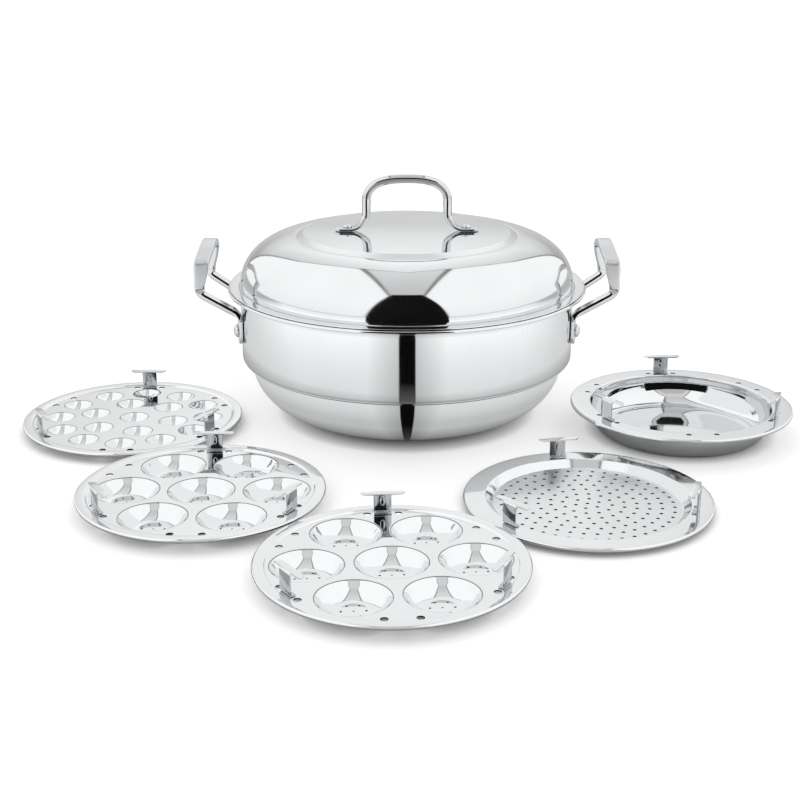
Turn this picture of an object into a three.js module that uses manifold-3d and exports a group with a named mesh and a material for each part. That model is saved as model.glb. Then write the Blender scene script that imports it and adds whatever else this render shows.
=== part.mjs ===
// Multi kadai: a stepped stainless steel pot with a domed lid, and five steaming plates
// that lie round its front. Millimetres, +Z up, origin on the table under the pot's middle.
import * as THREE from 'three';
import { mergeVertices } from 'three/addons/utils/BufferGeometryUtils.js';
import Module from 'manifold-3d';

const wasm = await Module();
wasm.setup();

// Fits shared by all pieces
const SEAT_GAP = 0.3; // between two pieces that touch
const RIVET_PLAY = 0.3; // round a rivet's shank
const TABLE_GAP = 3; // between neighbours that stand side by side on the table

// Facets
const POT_SEGMENTS = 30;
const PLATE_SEGMENTS = 30;
const HOLE_SIDES = 4;
const RIVET_SEGMENTS = 8;
const BAR_SIDES = 8;
const BEND_STEPS = 3;

// Pot, pressed from one sheet: bowl, ledge, upright wall, flared and rolled rim
const POT_SHEET = 1.2;
const POT_BORE_R = 146; // inside the upright wall
const POT_HEIGHT = 118; // table to the top of the rim
const RIM_WIDTH = 12; // inside of the wall to the edge of the rim
const RIM_CURL_R = 2.2;
const FLARE_HEIGHT = 9;
const FLARE_REACH = 5.5;
const LEDGE_Z = 53; // table to the ledge that carries a plate
const LEDGE_CORNER_R = 4;
const BOWL_R = 138; // inside the bowl at the ledge
const FLOOR_R = 86; // flat floor inside

// Heat-spreading base: an aluminium core held by a steel cap
const CORE_R = 86;
const CORE_THICKNESS = 3;
const CAP_SHEET = 0.8;

// Side handles, forged from round rod: a flat pad on the wall at each end and a flat grip
const ROD_R = 4;
const PAD_WIDTH = 15;
const PAD_THICKNESS = 3.6;
const PAD_BOTTOM_Z = 71;
const PAD_LENGTH = 26;
const PAD_SPREAD = 31; // from the pot's middle plane to each pad
const GRIP_STAND_OFF = 32.8; // wall to the foot of the grip
const GRIP_LEAN = 3.5; // the grip leans in by this, foot to shoulder, and again to its crown
const GRIP_SPREAD = 37; // from the middle plane to each end of the grip
const GRIP_FOOT_Z = 118;
const GRIP_SHOULDER_Z = 145;
const GRIP_CROWN_Z = 158;
const GRIP_WIDTH = 12.5;
const GRIP_FOOT_WIDTH = 9;
const GRIP_THICKNESS = 5;
const LEG_BEND_R = 9;
const SHOULDER_BEND_R = 5;

// Rivets through pad and wall
const RIVET_SHANK_R = 2.5;
const RIVET_HEAD_R = 5.8;
const RIVET_HEAD_HEIGHT = 3.6;
const RIVET_TAIL_HEIGHT = 1.5;

// Lid, pressed from one sheet: flat raised disc, bevel, dome, locating groove, flange
const LID_SHEET = 1;
const DISC_Z = 165; // table to the top of the disc
const DISC_R = 92;
const BEVEL_WIDTH = 5;
const BEVEL_HEIGHT = 4.6;
const DOME_PLAY = 0.8; // foot of the dome inside the line of the wall
const DOME_FOOT_RISE = 2; // above the flange
const GROOVE_WIDTH = 3.6;
const GROOVE_DEPTH = 2.2;
const FLANGE_INSET = 1.4; // edge of the rim to the edge of the flange

// Lid handle, bent from the same round rod with flattened feet
const LID_LEG_X = 35.5; // lid's axis to the middle of each leg
const LID_BAR_RISE = 48; // disc to the middle of the bar's crown
const LID_SHOULDER_RISE = 37;
const LID_FOOT_REACH = 63.5;
const LID_FOOT_WIDTH = 13;
const LID_FOOT_THICKNESS = 3;
const LID_HEEL = 8.5; // the rod slopes this far out and up between foot and leg
const LID_SHOULDER_R = 13;
const LID_HEEL_R = 8;
const LID_RIVET_X = 52;
const LID_SHANK_R = 2;
const LID_HEAD_R = 4.4;
const LID_HEAD_HEIGHT = 2.4;

// Plates: one size, so that they stack on each other's brackets
const PLATE_R = 95;
const PLATE_SHEET = 1;
const EDGE_BAND = 8; // raised band between the rolled edge and the deck
const EDGE_RISE = 1.6;
const EDGE_CURL = 1.5;
const DECK_HOLE_R = 2.8;
const DECK_HOLE_INSET = 13; // plate's edge to the middle of a steam hole
const PAIR_DEG = 8; // half the angle between the two holes of a pair
const STEAM_PAIRS = [30, 90, 150, 210, 270, 330];

// Brackets that carry the next plate: foot, upright and a T-shaped tab, spot-welded on
const BRACKET_ANGLES = [90, 210, 330];
const BRACKET_SHEET = 1.2;
const BRACKET_WIDTH = 13;
const BRACKET_HEIGHT = 17;
const BRACKET_SET_IN = 1.4; // from the rise of the edge band to the outside of the upright
const BRACKET_FOOT = 4.6;
const TAB_WIDTH = 32;
const TAB_DEPTH = 7;
const TAB_CHAMFER = 2.5;

// Idli plate: a cup in the middle and a ring of six that fill the deck
const IDLI_WEB = 4.8; // deck left between neighbouring cups
const IDLI_MARGIN = 1.4; // deck left outside the ring
const IDLI_WALL_REACH = 5.9; // cup's floor to its lip, measured flat
const IDLI_DEPTH = 10;
const IDLI_SEGMENTS = 12;

// Mini idli plate: a cup in the middle, a ring of six and a ring of twelve
const MINI_WEB = 5.65;
const MINI_MARGIN = 0.4; // outer ring to the feet of the brackets
const MINI_WALL_REACH = 6.5;
const MINI_DEPTH = 7;
const MINI_INNER_SHARE = 0.57; // inner ring's radius in the outer one's
const MINI_INNER_DEG = 45;
const MINI_SEGMENTS = 8;

// Steamer plate: a shallow dish with a perforated floor
const STEAMER_FLANGE = 16.5;
const STEAMER_SLOPE = 6.5;
const STEAMER_DEPTH = 6;
const PERFORATION_R = 1.4;
const PERFORATION_RINGS = 7;
const PERFORATION_MARGIN = 6.2; // outer ring of holes to the edge of the floor

// Dhokla plate: a deep dish with a rounded wall
const DHOKLA_FLANGE = 17;
const DHOKLA_WALL_REACH = 16;
const DHOKLA_DEPTH = 25;
const DHOKLA_LIP = 3; // straight fall from the flange before the wall rounds in

// Where the plates lie: directions from the pot, then from the neighbour behind
const MINI_DIRECTION_DEG = 191;
const LEFT_IDLI_DIRECTION_DEG = -64.5;
const DHOKLA_DIRECTION_DEG = -14;
const STEAMER_DIRECTION_DEG = -121.5;

const STEEL = { color: 0xd9dbdc, roughness: 0.1, metalness: 1 };
const SATIN_STEEL = { color: 0xc9cbcc, roughness: 0.32, metalness: 1 };
const CORE_METAL = { color: 0xb9bcc0, roughness: 0.5, metalness: 1 };

// Sizes that follow from the stack of base, pot and lid
const CORE_Z = CAP_SHEET + SEAT_GAP;
const POT_UNDERSIDE_Z = CORE_Z + CORE_THICKNESS + SEAT_GAP;
const POT_FLOOR_Z = POT_UNDERSIDE_Z + POT_SHEET;
const POT_WALL_R = POT_BORE_R + POT_SHEET;
const RIM_R = POT_BORE_R + RIM_WIDTH;
const GRIP_REACH = POT_WALL_R + GRIP_STAND_OFF;
const DOME_FOOT_R = POT_BORE_R - DOME_PLAY;
const FLANGE_R = RIM_R - FLANGE_INSET;
const FLANGE_Z = POT_HEIGHT + SEAT_GAP + LID_SHEET;
const LID_FOOT_Z = DISC_Z + SEAT_GAP + LID_FOOT_THICKNESS / 2;
const DECK_R = PLATE_R - EDGE_BAND - EDGE_RISE;

const object = new THREE.Group();

function radians(degrees) {
  return THREE.MathUtils.degToRad(degrees);
}

// Points on an elliptical arc in a profile, from one angle in degrees to another.
function arc(r, z, radiusR, radiusZ, from, to, steps) {
  return Array.from({ length: steps + 1 }, (_, i) => {
    const angle = radians(from + ((to - from) * i) / steps);
    return new THREE.Vector2(r + radiusR * Math.cos(angle), z + radiusZ * Math.sin(angle));
  });
}

function at(r, z) {
  return new THREE.Vector2(r, z);
}

// The outline of a bent sheet: the line is one face, and the sheet lies to its right.
function sheetOutline(line, sheet) {
  const rightOf = (a, b) => new THREE.Vector2(b.y - a.y, a.x - b.x).normalize();
  const otherFace = line.map((point, i) => {
    const before = rightOf(line[Math.max(i - 1, 0)], line[Math.max(i, 1)]);
    const last = line.length - 1;
    const after = rightOf(line[Math.min(i, last - 1)], line[Math.min(i + 1, last)]);
    const middle = before.clone().add(after).normalize();
    return point.clone().addScaledVector(middle, sheet / middle.dot(after));
  });
  return [...line, ...otherFace.reverse()];
}

function signedVolume(position, faces) {
  const [a, b, c] = [new THREE.Vector3(), new THREE.Vector3(), new THREE.Vector3()];
  let volume = 0;
  for (let i = 0; i < faces.length; i += 3) {
    a.fromBufferAttribute(position, faces[i]);
    b.fromBufferAttribute(position, faces[i + 1]);
    c.fromBufferAttribute(position, faces[i + 2]);
    volume += a.dot(b.cross(c)) / 6;
  }
  return volume;
}

// A closed skin: corners shared, nothing folded flat on the axis, faces pointing out.
function closed(geometry) {
  const bare = geometry.clone();
  bare.deleteAttribute('normal');
  bare.deleteAttribute('uv');
  const merged = mergeVertices(bare);
  const index = merged.index.array;
  const faces = [];
  for (let i = 0; i < index.length; i += 3) {
    const [a, b, c] = index.slice(i, i + 3);
    if (a !== b && b !== c && c !== a) {
      faces.push(a, b, c);
    }
  }
  if (signedVolume(merged.attributes.position, faces) < 0) {
    faces.reverse();
  }
  merged.setIndex(faces);
  return merged;
}

function toSolid(geometry) {
  const skin = closed(geometry);
  return new wasm.Manifold(new wasm.Mesh({
    numProp: 3,
    vertProperties: Float32Array.from(skin.attributes.position.array),
    triVerts: Uint32Array.from(skin.index.array),
  }));
}

function toGeometry(solid) {
  const mesh = solid.getMesh();
  const geometry = new THREE.BufferGeometry();
  geometry.setAttribute('position', new THREE.BufferAttribute(mesh.vertProperties, 3));
  geometry.setIndex(new THREE.BufferAttribute(mesh.triVerts, 1));
  return geometry;
}

function cutFrom(geometry, cutters) {
  const solid = cutters.reduce((rest, cutter) => rest.subtract(toSolid(cutter)), toSolid(geometry));
  return toGeometry(solid);
}

// Turns a profile about the Z axis.
function revolve(outline, segments) {
  return new THREE.LatheGeometry(outline, segments).rotateX(Math.PI / 2);
}

function addPart(parent, name, geometry, finish) {
  const mesh = new THREE.Mesh(closed(geometry), new THREE.MeshStandardMaterial(finish));
  mesh.name = name;
  mesh.geometry.computeVertexNormals();
  parent.add(mesh);
  return mesh;
}

// A path of straights joined by bends. A bend of endless radius is as wide as its straights allow.
function bentPath(corners) {
  const path = new THREE.CurvePath();
  let start = corners[0].point;
  corners.slice(1, -1).forEach(({ point, bend }, i) => {
    const back = corners[i].point.clone().sub(point);
    const ahead = corners[i + 2].point.clone().sub(point);
    const turn = Math.PI - back.angleTo(ahead);
    const shortest = Math.min(back.length(), ahead.length());
    const reach = Math.min(bend * Math.tan(turn / 2), 0.49 * shortest);
    const entry = point.clone().addScaledVector(back.normalize(), reach);
    const exit = point.clone().addScaledVector(ahead.normalize(), reach);
    path.add(new THREE.LineCurve3(start, entry));
    path.add(new THREE.QuadraticBezierCurve3(entry, point, exit));
    start = exit;
  });
  path.add(new THREE.LineCurve3(start, corners.at(-1).point));
  return path;
}

// Where a bar's sections stand: at the ends of straights, along bends, and at each key.
function stationDistances(path, keys) {
  const ends = path.getCurveLengths();
  const distances = new Set([0, ...keys.map((key) => key.distance)]);
  path.curves.forEach((curve, i) => {
    const begin = i === 0 ? 0 : ends[i - 1];
    const steps = curve.isQuadraticBezierCurve3 ? BEND_STEPS : 1;
    for (let step = 1; step <= steps; step += 1) {
      distances.add(begin + ((ends[i] - begin) * step) / steps);
    }
  });
  const sorted = [...distances].sort((a, b) => a - b);
  return sorted.filter((distance, i) => i === 0 || distance - sorted[i - 1] > ROD_R / 20);
}

// The section between the two keys on either side of a distance.
function sectionAt(keys, distance) {
  const next = Math.max(keys.findIndex((key) => key.distance >= distance), 1);
  const [a, b] = [keys[next - 1], keys[next]];
  const share = THREE.MathUtils.clamp((distance - a.distance) / (b.distance - a.distance), 0, 1);
  const blend = (name) => THREE.MathUtils.lerp(a[name], b[name], share);
  return { wide: blend('wide'), thick: blend('thick'), square: blend('square') };
}

// A bar along a path. Keys give its half width, half thickness and squareness on the way, and
// thicknessAxis gives the direction in which the thickness is measured.
function forgedBar(path, keys, thicknessAxis) {
  const length = path.getLength();
  const positions = [];
  const faces = [];
  const distances = stationDistances(path, keys);
  distances.forEach((distance) => {
    const along = Math.min(distance / length, 1);
    const centre = path.getPoint(along);
    const tangent = path.getTangent(along);
    const thickAxis = thicknessAxis(centre, tangent);
    thickAxis.addScaledVector(tangent, -thickAxis.dot(tangent)).normalize();
    const wideAxis = thickAxis.clone().cross(tangent);
    const section = sectionAt(keys, distance);
    for (let side = 0; side < BAR_SIDES; side += 1) {
      const angle = (2 * Math.PI * (side + 0.5)) / BAR_SIDES;
      const power = 2 / section.square;
      const wide = Math.sign(Math.cos(angle)) * Math.abs(Math.cos(angle)) ** power;
      const thick = Math.sign(Math.sin(angle)) * Math.abs(Math.sin(angle)) ** power;
      const point = centre.clone();
      point.addScaledVector(wideAxis, section.wide * wide);
      point.addScaledVector(thickAxis, section.thick * thick);
      positions.push(...point.toArray());
    }
  });
  const rings = distances.length;
  const corner = (ring, side) => ring * BAR_SIDES + (side % BAR_SIDES);
  for (let side = 0; side < BAR_SIDES; side += 1) {
    for (let ring = 0; ring + 1 < rings; ring += 1) {
      faces.push(corner(ring, side), corner(ring + 1, side), corner(ring + 1, side + 1));
      faces.push(corner(ring, side), corner(ring + 1, side + 1), corner(ring, side + 1));
    }
    if (side > 0 && side + 1 < BAR_SIDES) {
      faces.push(corner(0, 0), corner(0, side), corner(0, side + 1));
      faces.push(corner(rings - 1, 0), corner(rings - 1, side + 1), corner(rings - 1, side));
    }
  }
  const geometry = new THREE.BufferGeometry();
  geometry.setAttribute('position', new THREE.Float32BufferAttribute(positions, 3));
  geometry.setIndex(faces);
  return geometry;
}

// Keys for the first half of a bar, and the same again from its other end.
function mirroredKeys(keys, length) {
  const mirrored = keys.map((key) => ({ ...key, distance: length - key.distance }));
  return [...keys, ...mirrored.reverse()];
}

// A rivet on the Z axis: tail below zero, shank, and a domed head that starts at the grip length.
function rivet(gripLength, shankR, headR, headHeight, tailHeight) {
  const head = arc(0, gripLength, headR, headHeight, 0, 90, 3);
  const outline = [at(0, -tailHeight), at(headR, -tailHeight), at(headR, 0), at(shankR, 0)];
  return revolve([...outline, at(shankR, gripLength), ...head.slice(0, -1), at(0, gripLength + headHeight)],
    RIVET_SEGMENTS);
}

function roundCutter(radius, length, sides = RIVET_SEGMENTS) {
  return new THREE.CylinderGeometry(radius, radius, length, sides).rotateX(Math.PI / 2);
}

// Pot
function kadaiLine() {
  return [
    at(0, POT_FLOOR_Z),
    ...arc(FLOOR_R, LEDGE_Z, BOWL_R - FLOOR_R, LEDGE_Z - POT_FLOOR_Z, -90, 0, 6),
    ...arc(POT_BORE_R - LEDGE_CORNER_R, LEDGE_Z + LEDGE_CORNER_R, LEDGE_CORNER_R, LEDGE_CORNER_R, -80, 0, 2),
    ...arc(POT_BORE_R + FLARE_REACH, POT_HEIGHT - FLARE_HEIGHT, FLARE_REACH, FLARE_HEIGHT, 180, 90, 3),
    ...arc(RIM_R - RIM_CURL_R, POT_HEIGHT - RIM_CURL_R, RIM_CURL_R, RIM_CURL_R, 90, -70, 3),
  ];
}

// Pads sit square on a facet of the wall, so a rivet's axis points at the pot's axis.
const FACET_SHARE = Math.cos(Math.PI / POT_SEGMENTS);
const PAD_AXIS_R = POT_WALL_R * FACET_SHARE + SEAT_GAP + PAD_THICKNESS / 2;
const PAD_ANGLE = Math.asin(PAD_SPREAD / PAD_AXIS_R);
const RIVET_Z = PAD_BOTTOM_Z + PAD_LENGTH * 0.45;

// Turns a piece made on the Z axis out along the wall's radius through a pad.
function ontoPad(geometry, side, end, fromAxis) {
  const direction = (side > 0 ? 0 : Math.PI) + side * end * PAD_ANGLE;
  return geometry.rotateY(Math.PI / 2).translate(fromAxis, 0, RIVET_Z).rotateZ(direction);
}

function padHole(side, end) {
  const reach = 4 * (POT_SHEET + PAD_THICKNESS);
  return ontoPad(roundCutter(RIVET_SHANK_R + RIVET_PLAY, reach), side, end, POT_WALL_R);
}

const PADS = [[-1, -1], [-1, 1], [1, -1], [1, 1]];

function kadaiBody() {
  const shell = revolve(sheetOutline(kadaiLine(), POT_SHEET), POT_SEGMENTS);
  return cutFrom(shell, PADS.map(([side, end]) => padHole(side, end)));
}

function baseCap() {
  const insideR = CORE_R + SEAT_GAP;
  const line = [at(0, CAP_SHEET), at(insideR, CAP_SHEET), at(insideR, POT_UNDERSIDE_Z - SEAT_GAP)];
  return revolve(sheetOutline(line, CAP_SHEET), POT_SEGMENTS);
}

function baseCore() {
  return new THREE.CylinderGeometry(CORE_R, CORE_R, CORE_THICKNESS, POT_SEGMENTS)
    .rotateX(Math.PI / 2).translate(0, 0, CORE_Z + CORE_THICKNESS / 2);
}

// Side handles
function handlePath(side) {
  const leg = (end) => [
    { point: padPoint(side, end, PAD_BOTTOM_Z) },
    { point: padPoint(side, end, PAD_BOTTOM_Z + PAD_LENGTH), bend: LEG_BEND_R },
    { point: new THREE.Vector3(side * GRIP_REACH, end * GRIP_SPREAD, GRIP_FOOT_Z), bend: LEG_BEND_R },
    {
      point: new THREE.Vector3(side * (GRIP_REACH - GRIP_LEAN), end * GRIP_SPREAD, GRIP_SHOULDER_Z),
      bend: SHOULDER_BEND_R,
    },
  ];
  const crown = new THREE.Vector3(side * (GRIP_REACH - 2 * GRIP_LEAN), 0, GRIP_CROWN_Z);
  return bentPath([...leg(-1), { point: crown, bend: Infinity }, ...leg(1).reverse()]);
}

function padPoint(side, end, z) {
  const x = side * PAD_AXIS_R * Math.cos(PAD_ANGLE);
  return new THREE.Vector3(x, end * PAD_SPREAD, z);
}

function sideHandle(side) {
  const path = handlePath(side);
  const [padEnd, , legEnd, gripFoot, gripTop] = path.getCurveLengths();
  const pad = { wide: PAD_WIDTH / 2, thick: PAD_THICKNESS / 2, square: 5 };
  const rod = { wide: ROD_R, thick: ROD_R, square: 2 };
  const gripEnd = { wide: GRIP_THICKNESS / 2, thick: GRIP_FOOT_WIDTH / 2, square: 4 };
  const grip = { wide: GRIP_THICKNESS / 2, thick: GRIP_WIDTH / 2, square: 5 };
  const keys = mirroredKeys([
    { ...pad, distance: 0, wide: PAD_WIDTH / 4 },
    { ...pad, distance: PAD_WIDTH / 4 },
    { ...pad, distance: padEnd },
    { ...rod, distance: padEnd + PAD_WIDTH },
    { ...rod, distance: legEnd },
    { ...gripEnd, distance: gripFoot },
    { ...grip, distance: gripTop },
  ], path.getLength());
  const awayFromAxis = (point) => new THREE.Vector3(point.x, point.y, 0).normalize();
  const bar = forgedBar(path, keys, awayFromAxis);
  return cutFrom(bar, [padHole(side, -1), padHole(side, 1)]);
}

function handleRivet(side, end) {
  const tailFace = POT_BORE_R * FACET_SHARE - SEAT_GAP;
  const headFace = PAD_AXIS_R + PAD_THICKNESS / 2 + SEAT_GAP;
  const shape = rivet(headFace - tailFace, RIVET_SHANK_R, RIVET_HEAD_R, RIVET_HEAD_HEIGHT, RIVET_TAIL_HEIGHT);
  return ontoPad(shape, side, end, tailFace);
}

// Lid
function lidLine() {
  const domeTopR = DISC_R + BEVEL_WIDTH;
  const domeFootZ = FLANGE_Z + DOME_FOOT_RISE;
  const grooveR = DOME_FOOT_R + GROOVE_WIDTH / 2;
  return [
    at(0, DISC_Z),
    at(DISC_R, DISC_Z),
    ...arc(domeTopR, domeFootZ, DOME_FOOT_R - domeTopR, DISC_Z - BEVEL_HEIGHT - domeFootZ, 90, 0, 6),
    ...arc(grooveR, FLANGE_Z, GROOVE_WIDTH / 2, GROOVE_DEPTH, -160, -20, 2),
    at(grooveR + GROOVE_WIDTH / 2 + LID_SHEET, FLANGE_Z),
    at(FLANGE_R, FLANGE_Z),
  ];
}

function lidHole(side) {
  const reach = 4 * (LID_SHEET + LID_FOOT_THICKNESS);
  return roundCutter(LID_SHANK_R + RIVET_PLAY, reach).translate(side * LID_RIVET_X, 0, DISC_Z);
}

function lidShell() {
  const shell = revolve(sheetOutline(lidLine(), LID_SHEET), POT_SEGMENTS);
  return cutFrom(shell, [lidHole(-1), lidHole(1)]);
}

function lidHandle() {
  const half = (side) => [
    { point: new THREE.Vector3(side * LID_FOOT_REACH, 0, LID_FOOT_Z) },
    { point: new THREE.Vector3(side * (LID_LEG_X + LID_HEEL), 0, LID_FOOT_Z), bend: LID_HEEL_R },
    { point: new THREE.Vector3(side * LID_LEG_X, 0, LID_FOOT_Z + LID_HEEL), bend: LID_HEEL_R },
    { point: new THREE.Vector3(side * LID_LEG_X, 0, DISC_Z + LID_SHOULDER_RISE), bend: LID_SHOULDER_R },
  ];
  const crown = { point: new THREE.Vector3(0, 0, DISC_Z + LID_BAR_RISE), bend: Infinity };
  const path = bentPath([...half(-1), crown, ...half(1).reverse()]);
  const [footEnd, , , legFoot] = path.getCurveLengths();
  const foot = { wide: LID_FOOT_WIDTH / 2, thick: LID_FOOT_THICKNESS / 2, square: 5 };
  const rod = { wide: ROD_R, thick: ROD_R, square: 2 };
  const keys = mirroredKeys([
    { ...foot, distance: 0, wide: LID_FOOT_WIDTH / 4 },
    { ...foot, distance: LID_FOOT_WIDTH / 4 },
    { ...foot, distance: footEnd },
    { ...rod, distance: legFoot },
  ], path.getLength());
  const sideways = new THREE.Vector3(0, 1, 0);
  const inPlane = (_, tangent) => sideways.clone().cross(tangent);
  return cutFrom(forgedBar(path, keys, inPlane), [lidHole(-1), lidHole(1)]);
}

function lidRivet(side) {
  const tailFace = DISC_Z - LID_SHEET - SEAT_GAP;
  const headFace = LID_FOOT_Z + LID_FOOT_THICKNESS / 2 + SEAT_GAP;
  const shape = rivet(headFace - tailFace, LID_SHANK_R, LID_HEAD_R, LID_HEAD_HEIGHT, RIVET_TAIL_HEIGHT);
  return shape.translate(side * LID_RIVET_X, 0, tailFace);
}

// Plates
function edgeLine(bandZ) {
  return [at(PLATE_R - EDGE_CURL, bandZ), at(PLATE_R, bandZ - EDGE_CURL), at(PLATE_R, bandZ - 2 * EDGE_CURL)];
}

// A flat deck with a raised band and a rolled edge, with its top at deckZ.
function deck(deckZ) {
  const bandZ = deckZ + EDGE_RISE;
  const line = [at(0, deckZ), at(DECK_R, deckZ), at(DECK_R + EDGE_RISE, bandZ), ...edgeLine(bandZ)];
  return revolve(sheetOutline(line, PLATE_SHEET), PLATE_SEGMENTS);
}

function steamHoles(z) {
  const ringR = PLATE_R - DECK_HOLE_INSET;
  const spots = STEAM_PAIRS.flatMap((angle) => [angle - PAIR_DEG, angle + PAIR_DEG]);
  return spots.map((angle) => roundCutter(DECK_HOLE_R, 4 * PLATE_SHEET, HOLE_SIDES)
    .translate(ringR, 0, z).rotateZ(radians(angle)));
}

// The places of a ring of cups, as [x, y].
function ringOfCups(count, radius, turn) {
  return Array.from({ length: count }, (_, i) => {
    const angle = radians(turn + (360 * i) / count);
    return [radius * Math.cos(angle), radius * Math.sin(angle)];
  });
}

// Cups pressed down into a deck: each is added as its outside, then hollowed.
function cuppedPlate(cups, cupR, floorR, depth, segments) {
  const deckZ = depth + PLATE_SHEET;
  const wall = arc(floorR, deckZ, cupR - floorR, depth, -90, 0, 2);
  const outside = sheetOutline([at(0, PLATE_SHEET), ...wall], PLATE_SHEET).slice(wall.length + 1).reverse();
  const underDeck = deckZ - PLATE_SHEET / 2;
  const below = outside.slice(0, -1);
  const boss = revolve([...below, at(outside.at(-1).x, underDeck), at(0, underDeck)], segments);
  const aboveDeck = deckZ + PLATE_SHEET;
  const hollow = revolve([at(0, PLATE_SHEET), ...wall, at(cupR, aboveDeck), at(0, aboveDeck)], segments);
  const placed = (shape, [x, y]) => toSolid(shape.clone().translate(x, y, 0));
  const bossed = cups.reduce((rest, cup) => rest.add(placed(boss, cup)), toSolid(deck(deckZ)));
  const hollowed = cups.reduce((rest, cup) => rest.subtract(placed(hollow, cup)), bossed);
  return cutFrom(toGeometry(hollowed), steamHoles(deckZ));
}

// Three cup radii and a web span the deck from its middle to the margin.
function idliPlate() {
  const cupR = (DECK_R - IDLI_MARGIN - IDLI_WEB) / 3;
  const cups = [[0, 0], ...ringOfCups(6, 2 * cupR + IDLI_WEB, 0)];
  return cuppedPlate(cups, cupR, cupR - IDLI_WALL_REACH, IDLI_DEPTH, IDLI_SEGMENTS);
}

// The outer ring ends at the feet of the brackets, and its cups are a web apart.
function miniIdliPlate() {
  const ringEdge = DECK_R - BRACKET_SET_IN - BRACKET_FOOT - MINI_MARGIN;
  const halfStep = Math.sin(Math.PI / 12);
  const outerR = (ringEdge + MINI_WEB / 2) / (1 + halfStep);
  const cupR = ringEdge - outerR;
  const inner = ringOfCups(6, outerR * MINI_INNER_SHARE, MINI_INNER_DEG);
  const cups = [[0, 0], ...inner, ...ringOfCups(12, outerR, 0)];
  return cuppedPlate(cups, cupR, cupR - MINI_WALL_REACH, MINI_DEPTH, MINI_SEGMENTS);
}

// Ring n of the perforation has 6 n holes, a pitch apart from the ring inside it.
function perforations(floorR) {
  const pitch = (floorR - PERFORATION_MARGIN) / PERFORATION_RINGS;
  const rings = Array.from({ length: PERFORATION_RINGS }, (_, i) => i + 1);
  const places = rings.flatMap((ring) => ringOfCups(6 * ring, ring * pitch, 5 * ring));
  return [[0, 0], ...places].map(([x, y]) => roundCutter(PERFORATION_R, 6 * PLATE_SHEET, HOLE_SIDES).translate(x, y, 0));
}

function steamerPlate() {
  const flangeZ = STEAMER_DEPTH + PLATE_SHEET;
  const wellR = PLATE_R - STEAMER_FLANGE;
  const floorR = wellR - STEAMER_SLOPE;
  const line = [at(0, PLATE_SHEET), at(floorR, PLATE_SHEET), at(wellR, flangeZ), ...edgeLine(flangeZ)];
  return cutFrom(revolve(sheetOutline(line, PLATE_SHEET), PLATE_SEGMENTS), perforations(floorR));
}

function dhoklaPlate() {
  const flangeZ = DHOKLA_DEPTH + PLATE_SHEET;
  const wallTopZ = flangeZ - DHOKLA_LIP;
  const wellR = PLATE_R - DHOKLA_FLANGE;
  const line = [
    at(0, PLATE_SHEET),
    ...arc(wellR - DHOKLA_WALL_REACH, wallTopZ, DHOKLA_WALL_REACH, wallTopZ - PLATE_SHEET, -90, 0, 5),
    at(wellR, flangeZ),
    ...edgeLine(flangeZ),
  ];
  return cutFrom(revolve(sheetOutline(line, PLATE_SHEET), PLATE_SEGMENTS), steamHoles(flangeZ));
}

// A bracket that stands on a plate whose deck is at deckZ, out along X.
function bracket(deckZ) {
  const outerX = DECK_R - BRACKET_SET_IN;
  const footZ = deckZ + SEAT_GAP;
  const tabZ = footZ + BRACKET_HEIGHT;
  const line = [at(outerX - TAB_DEPTH, tabZ), at(outerX, tabZ), at(outerX, footZ), at(outerX - BRACKET_FOOT, footZ)];
  const strip = new THREE.ExtrudeGeometry(new THREE.Shape(sheetOutline(line, BRACKET_SHEET)),
    { depth: BRACKET_WIDTH, bevelEnabled: false }).rotateX(Math.PI / 2).translate(0, BRACKET_WIDTH / 2, 0);
  const [inX, endY] = [outerX - TAB_DEPTH, TAB_WIDTH / 2];
  const tabOutline = [
    at(outerX, -endY), at(outerX, endY), at(inX + TAB_CHAMFER, endY), at(inX, endY - TAB_CHAMFER),
    at(inX, TAB_CHAMFER - endY), at(inX + TAB_CHAMFER, -endY),
  ];
  const tab = new THREE.ExtrudeGeometry(new THREE.Shape(tabOutline), { depth: BRACKET_SHEET, bevelEnabled: false });
  return toGeometry(toSolid(strip).add(toSolid(tab.translate(0, 0, tabZ - BRACKET_SHEET))));
}

// A plate and its three brackets, placed on the table and turned.
function addPlate(name, shape, deckZ, [x, y], turn, finish = STEEL) {
  const group = new THREE.Group();
  group.position.set(x, y, 0);
  group.rotation.z = radians(turn);
  addPart(group, `${name}_plate`, shape, finish);
  BRACKET_ANGLES.forEach((angle, i) => {
    const piece = addPart(group, `${name}_bracket_${i + 1}`, bracket(deckZ), SATIN_STEEL);
    piece.rotation.z = radians(angle);
  });
  object.add(group);
}

function stepFrom([x, y], distance, direction) {
  return [x + distance * Math.cos(radians(direction)), y + distance * Math.sin(radians(direction))];
}

// The place that is one spacing in front of both of two plates.
function inFrontOf(left, right, spacing) {
  const middle = [(left[0] + right[0]) / 2, (left[1] + right[1]) / 2];
  const across = Math.atan2(right[1] - left[1], right[0] - left[0]);
  const half = Math.hypot(right[0] - left[0], right[1] - left[1]) / 2;
  const away = Math.sqrt(spacing * spacing - half * half);
  return [middle[0] + away * Math.sin(across), middle[1] - away * Math.cos(across)];
}

addPart(object, 'kadai_body', kadaiBody(), STEEL);
addPart(object, 'base_core', baseCore(), CORE_METAL);
addPart(object, 'base_cap', baseCap(), SATIN_STEEL);
[['left', -1], ['right', 1]].forEach(([word, side]) => {
  addPart(object, `handle_${word}`, sideHandle(side), STEEL);
  addPart(object, `handle_rivet_${word}_front`, handleRivet(side, -1), STEEL);
  addPart(object, `handle_rivet_${word}_back`, handleRivet(side, 1), STEEL);
  addPart(object, `lid_rivet_${word}`, lidRivet(side), STEEL);
});
addPart(object, 'lid_shell', lidShell(), STEEL);
addPart(object, 'lid_handle', lidHandle(), STEEL);

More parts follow.
